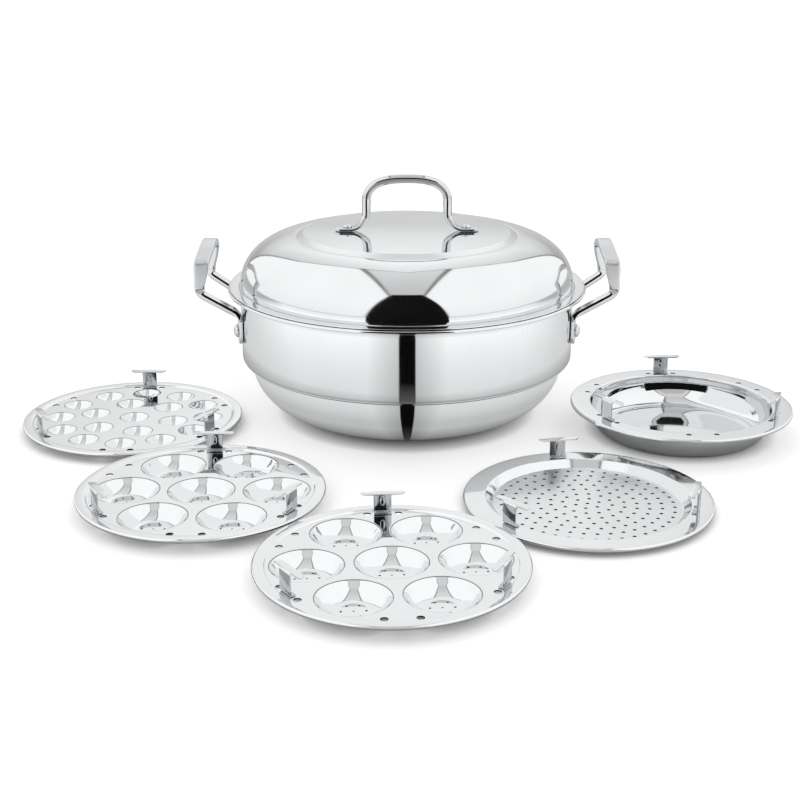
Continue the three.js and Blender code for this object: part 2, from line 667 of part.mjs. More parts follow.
const fromPot = POT_WALL_R + PLATE_R + TABLE_GAP;
const spacing = 2 * PLATE_R + TABLE_GAP;
const miniPlace = stepFrom([0, 0], fromPot, MINI_DIRECTION_DEG);
const leftPlace = stepFrom(miniPlace, spacing, LEFT_IDLI_DIRECTION_DEG);
const dhoklaPlace = stepFrom([0, 0], fromPot, DHOKLA_DIRECTION_DEG);
const steamerPlace = stepFrom(dhoklaPlace, spacing, STEAMER_DIRECTION_DEG);
const frontPlace = inFrontOf(leftPlace, steamerPlace, spacing);

addPlate('mini_idli', miniIdliPlate(), MINI_DEPTH + PLATE_SHEET, miniPlace, 0);
addPlate('idli_left', idliPlate(), IDLI_DEPTH + PLATE_SHEET, leftPlace, 0);
addPlate('idli_front', idliPlate(), IDLI_DEPTH + PLATE_SHEET, frontPlace, 5);
addPlate('steamer', steamerPlate(), STEAMER_DEPTH + PLATE_SHEET, steamerPlace, 10, SATIN_STEEL);
addPlate('dhokla', dhoklaPlate(), DHOKLA_DEPTH + PLATE_SHEET, dhoklaPlace, 2);

export default object;
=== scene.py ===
import math

import bmesh
import bpy
from mathutils import Matrix, Vector


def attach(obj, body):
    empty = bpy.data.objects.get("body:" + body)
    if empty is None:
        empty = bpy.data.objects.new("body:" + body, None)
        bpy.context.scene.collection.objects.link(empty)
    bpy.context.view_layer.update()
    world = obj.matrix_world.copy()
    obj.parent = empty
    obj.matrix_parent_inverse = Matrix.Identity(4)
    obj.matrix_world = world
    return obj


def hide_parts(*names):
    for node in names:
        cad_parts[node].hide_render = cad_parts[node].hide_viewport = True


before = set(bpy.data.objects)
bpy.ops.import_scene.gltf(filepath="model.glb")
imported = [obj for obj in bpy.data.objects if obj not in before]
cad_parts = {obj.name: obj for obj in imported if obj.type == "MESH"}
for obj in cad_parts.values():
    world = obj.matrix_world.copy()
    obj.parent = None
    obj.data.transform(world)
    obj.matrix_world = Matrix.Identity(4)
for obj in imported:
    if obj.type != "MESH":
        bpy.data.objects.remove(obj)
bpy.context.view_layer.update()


# Pot body: one sheet of stainless steel, 1.2 mm thick, pressed into a bowl, a ledge and an upright wall.
# Its rim is flared flat and the edge rolled under. Buffed on a lathe to a mirror, inside and out.
def bend(centre, radii, start, end, steps):
    """Points on an elliptical bend of a profile, in millimetres and degrees."""
    turns = [math.radians(start + (end - start) * i / steps) for i in range(steps + 1)]
    return [(centre[0] + radii[0] * math.cos(t), centre[1] + radii[1] * math.sin(t)) for t in turns]


def spin_profile(name, line, steps):
    """Draws a profile of (radius, height) in millimetres point by point and spins it about the axis."""
    bpy.ops.object.select_all(action="DESELECT")
    bpy.ops.mesh.primitive_plane_add(size=1)
    piece = bpy.context.object
    piece.name = piece.data.name = name
    bpy.ops.object.mode_set(mode="EDIT")
    bpy.ops.mesh.merge(type="CENTER")
    bpy.ops.transform.translate(value=(line[0][0], 0, line[0][1]))
    for (r0, z0), (r1, z1) in zip(line, line[1:]):
        bpy.ops.mesh.extrude_vertices_move(TRANSFORM_OT_translate={"value": (r1 - r0, 0, z1 - z0)})
    bpy.ops.mesh.select_all(action="SELECT")
    bpy.ops.mesh.spin(steps=steps, angle=math.tau, center=(0, 0, 0), axis=(0, 0, 1))
    bpy.ops.mesh.select_all(action="SELECT")
    bpy.ops.mesh.remove_doubles(threshold=0.01)
    bpy.ops.object.mode_set(mode="OBJECT")
    return piece


def face_out():
    """Turns all faces of the active piece the same way, outward where it is closed."""
    bpy.ops.object.mode_set(mode="EDIT")
    bpy.ops.mesh.select_all(action="SELECT")
    bpy.ops.mesh.normals_make_consistent(inside=False)
    bpy.ops.object.mode_set(mode="OBJECT")


def face_up(piece):
    """Turns all faces of an open sheet the same way, with most of its area facing up."""
    face_out()
    if sum(face.normal.z * face.area for face in piece.data.polygons) < 0:
        piece.data.flip_normals()


def thicken(piece, sheet, finishes=()):
    """Gives a sheet its thickness on the side away from its faces, and a second finish to its cut edges."""
    for finish in finishes:
        piece.data.materials.append(finish)
    bpy.ops.object.modifier_add(type="SOLIDIFY")
    piece.modifiers["Solidify"].material_offset_rim = 1
    piece.modifiers["Solidify"].thickness = sheet
    piece.modifiers["Solidify"].offset = -1
    piece.modifiers["Solidify"].use_even_offset = True
    bpy.ops.object.modifier_apply(modifier="Solidify")


def settle(piece, place=(0, 0, 0), turn=0):
    """Takes a finished piece from millimetres at the origin to its place in metres."""
    bpy.ops.object.select_all(action="DESELECT")
    piece.select_set(True)
    bpy.context.view_layer.objects.active = piece
    bpy.ops.object.shade_smooth_by_angle(angle=math.radians(40))
    piece.scale = (0.001, 0.001, 0.001)
    piece.location = Vector(place) * 0.001
    piece.rotation_euler = (0, 0, math.radians(turn))
    bpy.ops.object.transform_apply(location=True, rotation=True, scale=True)


def linear(hex_colour):
    """A linear colour from an sRGB hex value."""
    values = [int(hex_colour[i:i + 2], 16) / 255 for i in (1, 3, 5)]
    return [v / 12.92 if v <= 0.04045 else ((v + 0.055) / 1.055) ** 2.4 for v in values] + [1]


def add_node(tree, kind, settings, links=None):
    """Adds a node. Settings are its properties and input values.

    Links give what feeds its inputs: a socket, or a node whose first output is meant.
    """
    node = tree.nodes.new("ShaderNode" + kind)
    for key, value in settings.items():
        if isinstance(key, int) or key in node.inputs:
            node.inputs[key].default_value = value
        else:
            setattr(node, key, value)
    for key, source in (links or {}).items():
        socket = source if isinstance(source, bpy.types.NodeSocket) else source.outputs[0]
        tree.links.new(socket, node.inputs[key])
    return node


def polished_steel(name, centre, pale, dark, smooth, worn, satin=None, painted_shade_band=None, shade="#161718"):
    """Stainless steel buffed on a lathe: a mirror with fine rings about its axis and faint cloudy patches.

    Satin is two radii in metres and an extra roughness: between them the buff was lighter and the shine is soft.
    Between two heights in millimetres a dark line of painted shade is mixed in, darkest midway, as in a crease.
    """
    steel = bpy.data.materials.new(name)
    steel.use_nodes = True
    tree = steel.node_tree
    surface = tree.nodes["Principled BSDF"]
    surface.inputs["Metallic"].default_value = 1
    place = add_node(tree, "TexCoord", {}).outputs["Object"]
    flat = add_node(tree, "Mapping", {"Location": (-centre[0] * 0.001, -centre[1] * 0.001, 0), "Scale": (1, 1, 0)},
                    {"Vector": place})
    radius = add_node(tree, "VectorMath", {"operation": "LENGTH"}, {0: flat}).outputs["Value"]
    # Buffing rings are about 0.1 mm wide. They are drawn 0.9 mm wide, so that they show. The patches are 35 mm.
    rings = add_node(tree, "TexNoise", {"noise_dimensions": "1D", "Scale": 1 / 0.0009, "Detail": 2}, {"W": radius})
    clouds = add_node(tree, "TexNoise", {"Scale": 1 / 0.035, "Detail": 4}, {"Vector": place})
    tint = add_node(tree, "Mix", {"data_type": "RGBA", 6: linear(dark), 7: linear(pale)}, {0: clouds})
    gloss = add_node(tree, "MapRange", {"From Min": 0.3, "From Max": 0.7, "To Min": smooth, "To Max": worn},
                     {"Value": clouds})
    relief = add_node(tree, "Bump", {"Strength": 0.06, "Distance": 0.00002}, {"Height": rings})
    roughness, colour = gloss, tint.outputs[2]
    if satin:
        inner, outer, soft = satin
        within = add_node(tree, "MapRange", {"From Min": outer, "From Max": outer + 0.0006,
                                             "To Min": soft, "To Max": 0}, {"Value": radius})
        past = add_node(tree, "Math", {"operation": "GREATER_THAN", 1: inner}, {0: radius})
        roughness = add_node(tree, "Math", {"operation": "MULTIPLY_ADD"}, {0: within, 1: past, 2: gloss})
    # Painted shade: a dark line between two heights, darkest at its middle, as if in a crease.
    if painted_shade_band:
        height = add_node(tree, "SeparateXYZ", {}, {"Vector": place}).outputs["Z"]
        across_shade_band = add_node(tree, "MapRange", {"From Min": painted_shade_band[0] * 0.001, "From Max": painted_shade_band[1] * 0.001,
                                            "To Min": -1, "To Max": 1}, {"Value": height})
        inside = add_node(tree, "Math", {"operation": "PINGPONG", 1: 1}, {0: across_shade_band})
        colour = add_node(tree, "Mix", {"data_type": "RGBA", 6: linear(shade)}, {0: inside, 7: colour}).outputs[2]
    tree.links.new(colour, surface.inputs["Base Color"])
    tree.links.new(roughness.outputs[0], surface.inputs["Roughness"])
    tree.links.new(relief.outputs["Normal"], surface.inputs["Normal"])
    return steel


POT_SHEET = 1.2
POT_LINE = [
    (0, 5.6),
    *bend((86, 53), (52, 47.4), -90, -3, 36),           # bowl
    *bend((139.6, 51.4), (1.6, 1.6), 170, 92, 4),       # fold under the ledge
    *bend((142, 57), (4, 4), -84, 0, 8),                # ledge to wall
    *bend((151.5, 109), (5.5, 9), 180, 90, 12),         # flare of the rim
    *bend((156.5, 116.5), (1.5, 1.5), 90, -80, 12),     # rolled edge
]
pot = spin_profile("pot_shell", POT_LINE, 192)
face_up(pot)
thicken(pot, POT_SHEET)
settle(pot)
# A dark line of painted shade runs round under the ledge, between these heights in millimetres.
LEDGE_PAINTED_SHADE = (51.5, 54.1)
pot_steel = polished_steel("buffed_stainless_steel_pot", (0, 0), "#E4E5E6", "#DADCDD", 0.035, 0.075,
                           painted_shade_band=LEDGE_PAINTED_SHADE)
pot.data.materials.append(pot_steel)
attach(pot, "kadai")
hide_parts("kadai_body")

# Base: an aluminium disc brazed under the bowl and a thin steel cap pressed over it, so the pot heats evenly.
# Only the cap's edge shows, dulled by lapping; its dark colour is painted shade. The disc keeps its plain milled
# face.
CAP_SHEET = 0.8
CAP_LINE = [(0, CAP_SHEET), *bend((84.2, 2.9), (2.1, 2.1), -90, 0, 8), (86.3, 4.1)]
cap = spin_profile("base_cap_shell", CAP_LINE, 160)
face_up(cap)
thicken(cap, CAP_SHEET)
settle(cap)
cap_steel = polished_steel("lapped_stainless_steel_base_painted_shade", (0, 0), "#66686A", "#4C4E50", 0.2, 0.3)
cap.data.materials.append(cap_steel)
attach(cap, "kadai")
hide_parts("base_cap")
milled = polished_steel("milled_aluminium_core", (0, 0), "#C3C6CA", "#B4B7BB", 0.38, 0.5)
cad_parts["base_core"].data.materials.clear()
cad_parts["base_core"].data.materials.append(milled)


# Side handles: each is one 8 mm steel rod, forged flat to a pad at each end and to a wide grip in the middle.
# The round legs lift the grip clear of the rim. The pads are riveted to the wall. The legs are buffed bright and the
# grip is brushed satin.
def rod_path(corners):
    """Points along a rod bent at corners of (point, bend radius). A radius of 0 takes all the room it has."""
    path = [corners[0][0]]
    for (before, _), (corner, radius), (after, _) in zip(corners, corners[1:], corners[2:]):
        back, ahead = before - corner, after - corner
        turn = math.pi - back.angle(ahead)
        room = 0.49 * min(back.length, ahead.length)
        reach = min(radius * math.tan(turn / 2), room) if radius else room
        entry, leave = corner + back.normalized() * reach, corner + ahead.normalized() * reach
        steps = [i / 10 for i in range(11)]
        path += [entry * (1 - t) ** 2 + corner * 2 * t * (1 - t) + leave * t ** 2 for t in steps]
    return path + [corners[-1][0]]


def even_steps(path, pitch):
    """The same path with points at most one pitch apart."""
    spaced = [path[0]]
    for a, b in zip(path, path[1:]):
        count = max(1, math.ceil((b - a).length / pitch))
        spaced += [a.lerp(b, i / count) for i in range(1, count + 1)]
    return spaced


def forge_bar(name, path, section_at, thick_axis):
    """Rolls a grid into a bar along a path. Sections are (half width, half thickness, squareness) by place."""
    sides, rows = 24, len(path)
    bpy.ops.object.select_all(action="DESELECT")
    bpy.ops.mesh.primitive_grid_add(x_subdivisions=sides, y_subdivisions=rows - 1, size=1)
    bar = bpy.context.object
    bar.name = bar.data.name = name
    for row, centre in enumerate(path):
        along = (path[min(row + 1, rows - 1)] - path[max(row - 1, 0)]).normalized()
        thick = thick_axis(centre, along)
        thick = (thick - along * thick.dot(along)).normalized()
        wide = thick.cross(along)
        half_wide, half_thick, square = section_at(centre)
        for side in range(sides + 1):
            angle = math.tau * side / sides
            c, s = math.cos(angle), math.sin(angle)
            w = math.copysign(abs(c) ** (2 / square), c) * half_wide
            t = math.copysign(abs(s) ** (2 / square), s) * half_thick
            bar.data.vertices[row * (sides + 1) + side].co = centre + wide * w + thick * t
    bpy.ops.object.mode_set(mode="EDIT")
    bpy.ops.mesh.select_all(action="SELECT")
    bpy.ops.mesh.remove_doubles(threshold=0.01)
    bpy.ops.mesh.select_all(action="DESELECT")
    bpy.ops.mesh.select_mode(type="EDGE")
    bpy.ops.mesh.select_non_manifold()
    bpy.ops.mesh.fill_holes(sides=0)
    bpy.ops.mesh.select_all(action="SELECT")
    bpy.ops.mesh.normals_make_consistent(inside=False)
    bpy.ops.mesh.select_mode(type="VERT")
    bpy.ops.object.mode_set(mode="OBJECT")
    bpy.ops.object.modifier_add(type="SUBSURF")
    bar.modifiers["Subdivision"].levels = bar.modifiers["Subdivision"].render_levels = 1
    bpy.ops.object.modifier_apply(modifier="Subdivision")
    return bar


def blend(low, high, share):
    """A section part way between two sections, eased at both ends."""
    share = min(max(share, 0), 1)
    share = share * share * (3 - 2 * share)
    return [a + (b - a) * share for a, b in zip(low, high)]


def drawn_steel(name, pale, dark, smooth, worn, satin_height=0):
    """Stainless steel, drawn and then buffed by hand: bright, with short soft streaks.

    Above the satin height, in metres, it is brushed to a paler and softer shine.
    """
    steel = bpy.data.materials.new(name)
    steel.use_nodes = True
    tree = steel.node_tree
    surface = tree.nodes["Principled BSDF"]
    surface.inputs["Metallic"].default_value = 1
    place = add_node(tree, "TexCoord", {}).outputs["Object"]
    # Streaks from the buff are about 0.2 by 4 mm. They are drawn 0.7 by 8 mm, so that they show.
    squeezed = add_node(tree, "Mapping", {"Scale": (1 / 0.0007, 1 / 0.0007, 1 / 0.008)}, {"Vector": place})
    streaks = add_node(tree, "TexNoise", {"Scale": 1, "Detail": 3}, {"Vector": squeezed})
    clouds = add_node(tree, "TexNoise", {"Scale": 1 / 0.012, "Detail": 3}, {"Vector": place})
    tint = add_node(tree, "Mix", {"data_type": "RGBA", 6: linear(dark), 7: linear(pale)}, {0: clouds})
    gloss = add_node(tree, "MapRange", {"From Min": 0.3, "From Max": 0.7, "To Min": smooth, "To Max": worn},
                     {"Value": streaks})
    relief = add_node(tree, "Bump", {"Strength": 0.08, "Distance": 0.00003}, {"Height": streaks})
    roughness, colour = gloss, tint.outputs[2]
    if satin_height:
        height = add_node(tree, "SeparateXYZ", {}, {"Vector": place}).outputs["Z"]
        satin = add_node(tree, "MapRange", {"From Min": satin_height, "From Max": satin_height + 0.003},
                         {"Value": height})
        colour = add_node(tree, "Mix", {"data_type": "RGBA", 7: linear("#D4D6D8")},
                          {0: satin, 6: colour}).outputs[2]
        roughness = add_node(tree, "Math", {"operation": "MULTIPLY_ADD", 1: 0.25}, {0: satin, 2: gloss})
    tree.links.new(colour, surface.inputs["Base Color"])
    tree.links.new(roughness.outputs[0], surface.inputs["Roughness"])
    tree.links.new(relief.outputs["Normal"], surface.inputs["Normal"])
    return steel


# Half width, half thickness and squareness of the pads, the round rod and the two ends of the grip.
PAD, ROD, GRIP_FOOT, GRIP = (7.5, 1.8, 6), (4, 4, 2), (2.5, 4.6, 7), (2.5, 6.3, 7)
WALL_R = 147.2
PAD_R = WALL_R + 0.1 + PAD[1]
PAD_Y = 31
PAD_X = math.sqrt(PAD_R ** 2 - PAD_Y ** 2)
PAD_TIP_Z, PAD_END_Z, PAD_TOP_Z, PAD_BEND_Z, ROD_Z, LEG_Z = 71, 77, 92, 97, 102, 108
FLAT_Z, FLAT_LENGTH, WIDEN_Z, WIDE_Z = 117.5, 4, 124, 140
ELBOW_X, ELBOW_Y, ELBOW_Z, ELBOW_BEND = 180, 37, 118, 9
SHOULDER_X, SHOULDER_Z, SHOULDER_BEND = 176.5, 145, 2.5
GRIP_X, GRIP_Z = 173, 158
SATIN_GRIP_HEIGHT = 0.12


def handle_section(centre):
    """Half width, half thickness and squareness of a side handle at a point of its middle line."""
    if centre.z < PAD_END_Z:
        round_end = math.sqrt(max(1 - ((PAD_END_Z - centre.z) / 6.4) ** 2, 0.02))
        return PAD[0] * round_end, PAD[1], PAD[2]
    if centre.z < LEG_Z:
        return blend(PAD, ROD, (centre.z - PAD_TOP_Z) / (ROD_Z - PAD_TOP_Z))
    flat = blend(ROD, GRIP_FOOT, (centre.z - FLAT_Z) / FLAT_LENGTH)
    return blend(flat, GRIP, (centre.z - WIDEN_Z) / (WIDE_Z - WIDEN_Z))


def away_from_pot(centre, along):
    """The direction from the pot's axis, in which the thickness of the pads is measured."""
    return Vector((centre.x, centre.y, 0))


handle_steel = drawn_steel("buffed_stainless_steel_rod", "#DADCDD", "#CACCCE", 0.03, 0.06, SATIN_GRIP_HEIGHT)
for side, word in ((-1, "left"), (1, "right")):
    corners = []
    for end in (-1, 1):
        leg = [
            (Vector((side * PAD_X, end * PAD_Y, PAD_TIP_Z)), 0),
            (Vector((side * PAD_X, end * PAD_Y, PAD_BEND_Z)), ELBOW_BEND),
            (Vector((side * ELBOW_X, end * ELBOW_Y, ELBOW_Z)), ELBOW_BEND),
            (Vector((side * SHOULDER_X, end * ELBOW_Y, SHOULDER_Z)), SHOULDER_BEND),
        ]
        corners += leg if end < 0 else [(Vector((side * GRIP_X, 0, GRIP_Z)), 0)] + leg[::-1]
    middle_line = even_steps(rod_path(corners), 1.6)
    handle = forge_bar(f"forged_handle_{word}", middle_line, handle_section, away_from_pot)
    settle(handle)
    handle.data.materials.append(handle_steel)
    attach(handle, "kadai")
    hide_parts(f"handle_{word}")


# Handle rivets: solid steel, with a domed head outside the pad and a flat tail closed inside the pot.
# Each is turned on its own axis and then set through its pad and the wall.
RIVET_LINE = [
    (0, -1.6), (5, -1.6), *bend((5, -1.1), (0.6, 0.5), -90, 0, 3), (5.6, -0.1),     # tail
    (2.5, -0.1), (2.5, 5.2),                                                        # shank
    (5.7, 5.2), (5.8, 5.5), *bend((0, 5.6), (5.8, 3.5), 0, 90, 10),                 # head
]
RIVET_Z = 82.7
for side, word in ((-1, "left"), (1, "right")):
    for end, where in ((-1, "front"), (1, "back")):
        rivet = spin_profile(f"domed_rivet_{word}_{where}", RIVET_LINE, 48)
        face_out()
        through_wall = Matrix.Translation((WALL_R - POT_SHEET, 0, RIVET_Z)) @ Matrix.Rotation(math.pi / 2, 4, "Y")
        round_pot = Matrix.Rotation(math.atan2(end * PAD_Y, side * PAD_X), 4, "Z")
        rivet.data.transform(round_pot @ through_wall)
        settle(rivet)
        rivet.data.materials.append(handle_steel)
        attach(rivet, "kadai")
        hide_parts(f"handle_rivet_{word}_{where}")

# Lid: one steel sheet, 1 mm thick, pressed into a flat raised disc, a bevel and a dome.
# A groove under the dome's foot keeps it central on the rim, and a flange rests on the rim's flat ring.
LID_SHEET = 1
LID_LINE = [
    (0, 165),
    *bend((91, 164.2), (0.8, 0.8), 90, 48, 4),          # disc to bevel
    *bend((97.6, 161), (1, 1), 124, 92, 4),             # bevel to dome
    *bend((97, 121.3), (50.1, 40.7), 88, 0, 40),        # dome
    (147.1, 119.4),
    *bend((147.6, 118.9), (0.5, 0.7), -176, -8, 8),     # locating groove
    *bend((149, 118.4), (0.9, 0.9), 170, 90, 4),
    (156, 119.3),                                       # flange
    *bend((156.2, 118.9), (0.4, 0.4), 90, 0, 3),
]
lid = spin_profile("lid_dome", LID_LINE, 192)
face_up(lid)
thicken(lid, LID_SHEET)
settle(lid)
# The bevel is buffed less than the rest of the lid.
SOFT_BEVEL = (0.0912, 0.0968, 0.22)
lid_steel = polished_steel("buffed_stainless_steel_lid", (0, 0), "#E4E5E6", "#DADCDD", 0.05, 0.09, SOFT_BEVEL)
lid.data.materials.append(lid_steel)
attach(lid, "lid")
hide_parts("lid_shell")

# Lid handle: an 8 mm steel rod bent to an arch and buffed by hand to a soft shine.
# Its feet are hammered flat and riveted to the disc.
LID_FOOT, LID_FOOT_Z, LID_FOOT_RISE = (6.5, 1.5, 6), 166.8, 11
LID_TIP_X, LID_TIP_END = 63.5, 5
HEEL_X, HEEL_RISE, HEEL_BEND = 44, 8.5, 14


def lid_handle_section(centre):
    """Half width, half thickness and squareness of the lid handle at a point of its middle line."""
    from_tip = LID_TIP_X - abs(centre.x)
    if from_tip < LID_TIP_END:
        round_end = math.sqrt(max(1 - ((LID_TIP_END - from_tip) / 5.3) ** 2, 0.02))
        return LID_FOOT[0] * round_end, LID_FOOT[1], LID_FOOT[2]
    return blend(LID_FOOT, ROD, (centre.z - LID_FOOT_Z) / LID_FOOT_RISE)


ARCH_HALF, ARCH_Z, ARCH_RISE, ARCH_FULLNESS = 35.5, 190, 20.8, 2.6
left_leg = rod_path([
    (Vector((-LID_TIP_X, 0, LID_FOOT_Z)), 0),
    (Vector((-HEEL_X, 0, LID_FOOT_Z)), HEEL_BEND),
    (Vector((-ARCH_HALF, 0, LID_FOOT_Z + HEEL_RISE)), HEEL_BEND),
    (Vector((-ARCH_HALF, 0, ARCH_Z)), 0),
])
arch = []
for i in range(1, 48):
    c, s = math.cos(math.pi * (1 - i / 48)), math.sin(math.pi * i / 48)
    across = math.copysign(abs(c) ** (2 / ARCH_FULLNESS), c) * ARCH_HALF
    arch.append(Vector((across, 0, ARCH_Z + s ** (2 / ARCH_FULLNESS) * ARCH_RISE)))
right_leg = [Vector((-point.x, 0, point.z)) for point in left_leg[::-1]]
lid_handle = forge_bar("bent_lid_handle", even_steps(left_leg + arch + right_leg, 1.4), lid_handle_section,
                       lambda centre, along: Vector((0, 1, 0)).cross(along))
settle(lid_handle)
lid_rod_steel = drawn_steel("buffed_stainless_steel_lid_rod", "#DADCDD", "#CACCCE", 0.07, 0.11)
lid_handle.data.materials.append(lid_rod_steel)
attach(lid_handle, "lid")
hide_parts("lid_handle")

# Lid rivets: solid steel, one through each foot of the handle.
# They are domed above the foot and closed flat under the disc.
LID_RIVET_LINE = [
    (0, -1.4), (3.8, -1.4), *bend((3.8, -1), (0.5, 0.4), -90, 0, 3), (4.3, -0.1),   # tail
    (2, -0.1), (2, 4.5),                                                            # shank
    (4.3, 4.5), (4.4, 4.7), *bend((0, 4.8), (4.4, 2.2), 0, 90, 8),                  # head
]
LID_RIVET_X, LID_UNDERSIDE_Z = 52, 164
for side, word in ((-1, "left"), (1, "right")):
    rivet = spin_profile(f"lid_foot_rivet_{word}", LID_RIVET_LINE, 40)
    face_out()
    settle(rivet, (side * LID_RIVET_X, 0, LID_UNDERSIDE_Z))
    rivet.data.materials.append(lid_rod_steel)
    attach(rivet, "lid")
    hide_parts(f"lid_rivet_{word}")


# Idli plates: a deck of 1 mm sheet with a raised band and a rolled edge. Seven cups are pressed down into it,
# each with drain holes in its floor, and steam holes are punched in pairs round the deck.
def punch(places, radius, height, sides):
    """In edit mode, adds the open edge of a punched hole at each place."""
    for x, y in places:
        bpy.ops.mesh.primitive_circle_add(vertices=sides, radius=radius, location=(x, y, height))


def fill_level(piece, height):
    """In edit mode, fills the flat sheet between all open edges at one height."""
    sheet = bmesh.from_edit_mesh(piece.data)
    bpy.ops.mesh.select_all(action="DESELECT")
    bpy.ops.mesh.select_mode(type="EDGE")
    for edge in sheet.edges:
        if len(edge.link_faces) < 2 and all(abs(v.co.z - height) < 0.005 for v in edge.verts):
            edge.select_set(True)
    bpy.ops.mesh.fill(use_beauty=True)
    bpy.ops.mesh.select_mode(type="VERT")


def ring(count, radius, turn=0):
    """Places on a circle, in millimetres and degrees."""
    turns = [math.radians(turn + 360 * i / count) for i in range(count)]
    return [(radius * math.cos(t), radius * math.sin(t)) for t in turns]


def plate_edge(name, deck):
    """The raised band and rolled edge round a plate whose deck is at a given height."""
    line = [(84.8, deck), (85.3, deck), (85.75, deck + 0.12), (86.1, deck + 0.42), (86.4, deck + 0.85),
            (86.75, deck + 1.25), (87.2, deck + 1.5), (87.7, deck + 1.6), (90, deck + 1.6),
            *bend((93.4, deck), (1.6, 1.6), 90, -60, 10)]
    return spin_profile(name, line, 180)


PLATE_SHEET = 1
STEAM_RING_R, STEAM_R = 82, 2.8
STEAM_PLACES = [ring(1, STEAM_RING_R, 60 * pair + turn)[0] for pair in range(6) for turn in (22, 38)]


def press_cups(plate, cup, places, deck, finishes):
    """Copies a cup to its places, joins the copies to the plate's edge and fills the deck between them."""
    for x, y in places:
        bpy.ops.object.select_all(action="DESELECT")
        cup.select_set(True)
        bpy.context.view_layer.objects.active = cup
        bpy.ops.object.duplicate()
        bpy.ops.transform.translate(value=(x, y, 0))
        plate.select_set(True)
        bpy.context.view_layer.objects.active = plate
        bpy.ops.object.join()
    bpy.data.objects.remove(cup)
    bpy.ops.object.mode_set(mode="EDIT")
    punch(STEAM_PLACES, STEAM_R, deck, 24)
    fill_level(plate, deck)
    bpy.ops.object.mode_set(mode="OBJECT")
    face_up(plate)
    thicken(plate, PLATE_SHEET, finishes)


# Punched edges are sheared, not polished, so they stay matt. Their dark colour is painted shade in the holes.
punched_edge = drawn_steel("sheared_stainless_steel_edge_painted_shade", "#4A4B4C", "#2E2F30", 0.45, 0.6)
# Each plate's place on the table in millimetres, and its turn in degrees.
PLACES = {
    "mini_idli": (-240.695, -46.786, 0),
    "idli_left": (-157.606, -220.985, 0),
    "idli_front": (-11.490, -347.077, 5),
    "steamer": (137.074, -223.879, 10),
    "dhokla": (237.917, -59.319, 2),
}
FLOOR = PLATE_SHEET
IDLI_DECK, IDLI_RING_R = 11, 57.6
IDLI_CUP_LINE = [
    (9.7, FLOOR),
    *bend((9.9, 17), (16, 16), -90, -38, 18),           # floor to wall
    (23.6, 8.6),
    *bend((26.65, 8.5), (2.5, 2.5), 142, 90, 10),       # lip
    (26.9, IDLI_DECK),
]
DRAIN_RING_R, DRAIN_R, MIDDLE_DRAIN_R = 8.3, 0.9, 0.7
for name in ("idli_left", "idli_front"):
    x, y, turn = PLACES[name]
    cup = spin_profile("idli_cup", IDLI_CUP_LINE, 72)
    bpy.ops.object.mode_set(mode="EDIT")
    punch(ring(6, DRAIN_RING_R), DRAIN_R, FLOOR, 16)
    punch([(0, 0)], MIDDLE_DRAIN_R, FLOOR, 16)
    fill_level(cup, FLOOR)
    bpy.ops.object.mode_set(mode="OBJECT")
    plate = plate_edge(f"{name}_tray", IDLI_DECK)
    # A thin dark line of painted shade runs round the lip of each cup, just under the deck.
    idli_steel = polished_steel(f"buffed_stainless_steel_{name}", (x, y), "#E8E9EA", "#DFE0E1", 0.04, 0.08,
                                painted_shade_band=(IDLI_DECK - 0.5, IDLI_DECK - 0.02), shade="#2A2B2C")
    press_cups(plate, cup, [(0, 0)] + ring(6, IDLI_RING_R), IDLI_DECK, (idli_steel, punched_edge))
    settle(plate, (x, y, 0), turn)
    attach(plate, name)
    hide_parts(f"{name}_plate")

# Mini idli plate: the same 1 mm sheet, deck and edge as the idli plates.
# Nineteen small round cups are pressed into it, one in the middle and two rings round it.
MINI_DECK, MINI_RINGS = 8, (37, 65)
MINI_CUP_LINE = [
    (0, FLOOR),
    *bend((0, 15.44), (14.44, 14.44), -88, -34.5, 14),  # round floor
    *bend((13.3, 6.3), (1.7, 1.7), 145.5, 90, 8),       # lip
    (13.6, MINI_DECK),
]
x, y, turn = PLACES["mini_idli"]
cup = spin_profile("mini_cup", MINI_CUP_LINE, 56)
mini = plate_edge("mini_idli_tray", MINI_DECK)
# A thin dark line of painted shade runs round the lip of each cup, just under the deck.
mini_steel = polished_steel("buffed_stainless_steel_mini", (x, y), "#E8E9EA", "#DFE0E1", 0.04, 0.08,
                            painted_shade_band=(MINI_DECK - 0.4, MINI_DECK - 0.02), shade="#2A2B2C")
mini_places = [(0, 0)] + ring(6, MINI_RINGS[0], 45) + ring(12, MINI_RINGS[1])
press_cups(mini, cup, mini_places, MINI_DECK, (mini_steel, punched_edge))
settle(mini, (x, y, 0), turn)
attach(mini, "mini_idli")
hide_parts("mini_idli_plate")

# Steamer plate: a shallow dish of 1 mm sheet with a wide polished flange.
# Its floor is left satin, as it came from the rollers, and is perforated in rings.
STEAMER_DECK = 7
STEAMER_LINE = [
    (70.5, FLOOR), (71.3, FLOOR),
    *bend((71.6, 2.6), (1.6, 1.6), -90, -45, 5),        # floor to slope
    *bend((78.6, 5.6), (1.4, 1.4), 135, 90, 5),         # slope to flange
    (80, STEAMER_DECK), (90, STEAMER_DECK),
    *bend((93.4, 5.4), (1.6, 1.6), 90, -60, 10),        # rolled edge
]
HOLE_PITCH, HOLE_R, HOLE_RINGS = 9.4, 1.45, 7
SATIN_FLOOR = (-1, 0.0712, 0.22)
x, y, turn = PLACES["steamer"]
steamer = spin_profile("steamer_tray", STEAMER_LINE, 180)
bpy.ops.object.mode_set(mode="EDIT")
hole_places = [place for n in range(1, HOLE_RINGS + 1) for place in ring(6 * n, HOLE_PITCH * n, 5 * n)]
punch([(0, 0)] + hole_places, HOLE_R, FLOOR, 14)
fill_level(steamer, FLOOR)
bpy.ops.object.mode_set(mode="OBJECT")
face_up(steamer)
